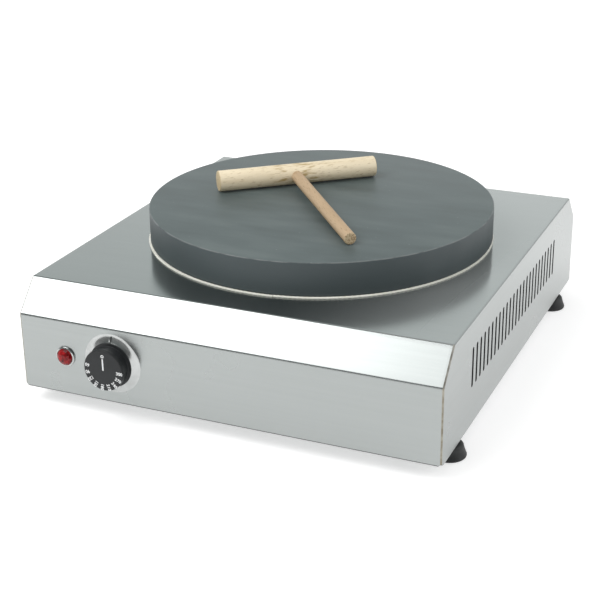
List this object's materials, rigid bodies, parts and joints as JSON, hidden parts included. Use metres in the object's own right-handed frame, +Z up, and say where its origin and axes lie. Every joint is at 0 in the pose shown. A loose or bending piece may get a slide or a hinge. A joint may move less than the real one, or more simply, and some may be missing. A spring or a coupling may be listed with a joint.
{
  "type": "electric pancake griddle",
  "caption": "Countertop electric griddle: round cast cooking plate on a folded stainless casing with slotted sides, thermostat dial and pilot lamp, and a wooden batter spreader.",
  "frame": {"origin": "on the table under the middle of the casing", "axes": "+X to the right seen from the front, +Y to the rear, +Z up"},
  "size_m": [0.4329, 0.4978, 0.1768],
  "materials": {
    "stainless": "brushed stainless sheet",
    "zinc_steel": "zinc-plated steel",
    "black_rubber": "moulded rubber",
    "cast_iron": "ground cast iron",
    "rope": "braided glass-fibre rope",
    "element_steel": "annealed tube",
    "brass": "plain brass",
    "wool": "mineral wool",
    "chrome": "polished chrome plate",
    "knob_plastic": "moulded black plastic",
    "case_plastic": "moulded pale plastic",
    "copper": "drawn copper",
    "red_lens": "clear red plastic",
    "black_plastic": "moulded black plastic",
    "lead_sleeve": "sleeved copper wire",
    "beech": "plain turned beech"
  },
  "bodies": {
    "appliance": {"casing": "stainless", "base_pan": "zinc_steel", "base_screws": "zinc_steel", "foot_screws": "zinc_steel", "foot_washers": "zinc_steel", "foot_nuts": "zinc_steel", "element_clamp_disc": "zinc_steel", "heat_shield": "zinc_steel", "hold_down_bridge": "zinc_steel", "plate_studs": "zinc_steel", "stud_washers": "zinc_steel", "stud_nuts": "zinc_steel", "thermostat_screws": "zinc_steel", "bulb_saddle": "zinc_steel", "terminal_block_screws": "zinc_steel", "front_left_foot": "black_rubber", "front_right_foot": "black_rubber", "rear_left_foot": "black_rubber", "rear_right_foot": "black_rubber", "gland_seal": "black_rubber", "cooking_plate": "cast_iron", "rope_seal": "rope", "outer_element": "element_steel", "inner_element": "element_steel", "element_links": "brass", "earth_stud": "brass", "earth_nuts": "brass", "insulation_pad": "wool", "dial_bezel": "chrome", "pilot_bezel": "chrome", "thermostat_body": "case_plastic", "terminal_block": "case_plastic", "sensor_bulb": "copper", "capillary_tube": "copper", "pilot_lens": "red_lens", "pilot_body": "black_plastic", "pilot_nut": "black_plastic", "gland_body": "black_plastic", "gland_cap": "black_plastic", "gland_locknut": "black_plastic", "live_lead": "lead_sleeve", "switched_lead": "lead_sleeve", "neutral_lead": "lead_sleeve", "earth_lead": "lead_sleeve", "pilot_leads": "lead_sleeve"},
    "dial": {"control_knob": "knob_plastic", "thermostat_shaft": "zinc_steel"},
    "spreader": {"spreader_bar": "beech", "spreader_handle": "beech"}
  },
  "joints": [
    {"name": "dial_turn", "type": "hinge", "parent": "appliance", "child": "dial", "pos_m": [-0.111, -0.231, 0.0572], "axis": [0, 1, 0], "range_deg": [0, 270]},
    {"name": "spreader_lift", "type": "slide", "parent": "appliance", "child": "spreader", "axis": [0, 0, 1], "range_m": [0, 0.15]}
  ]
}
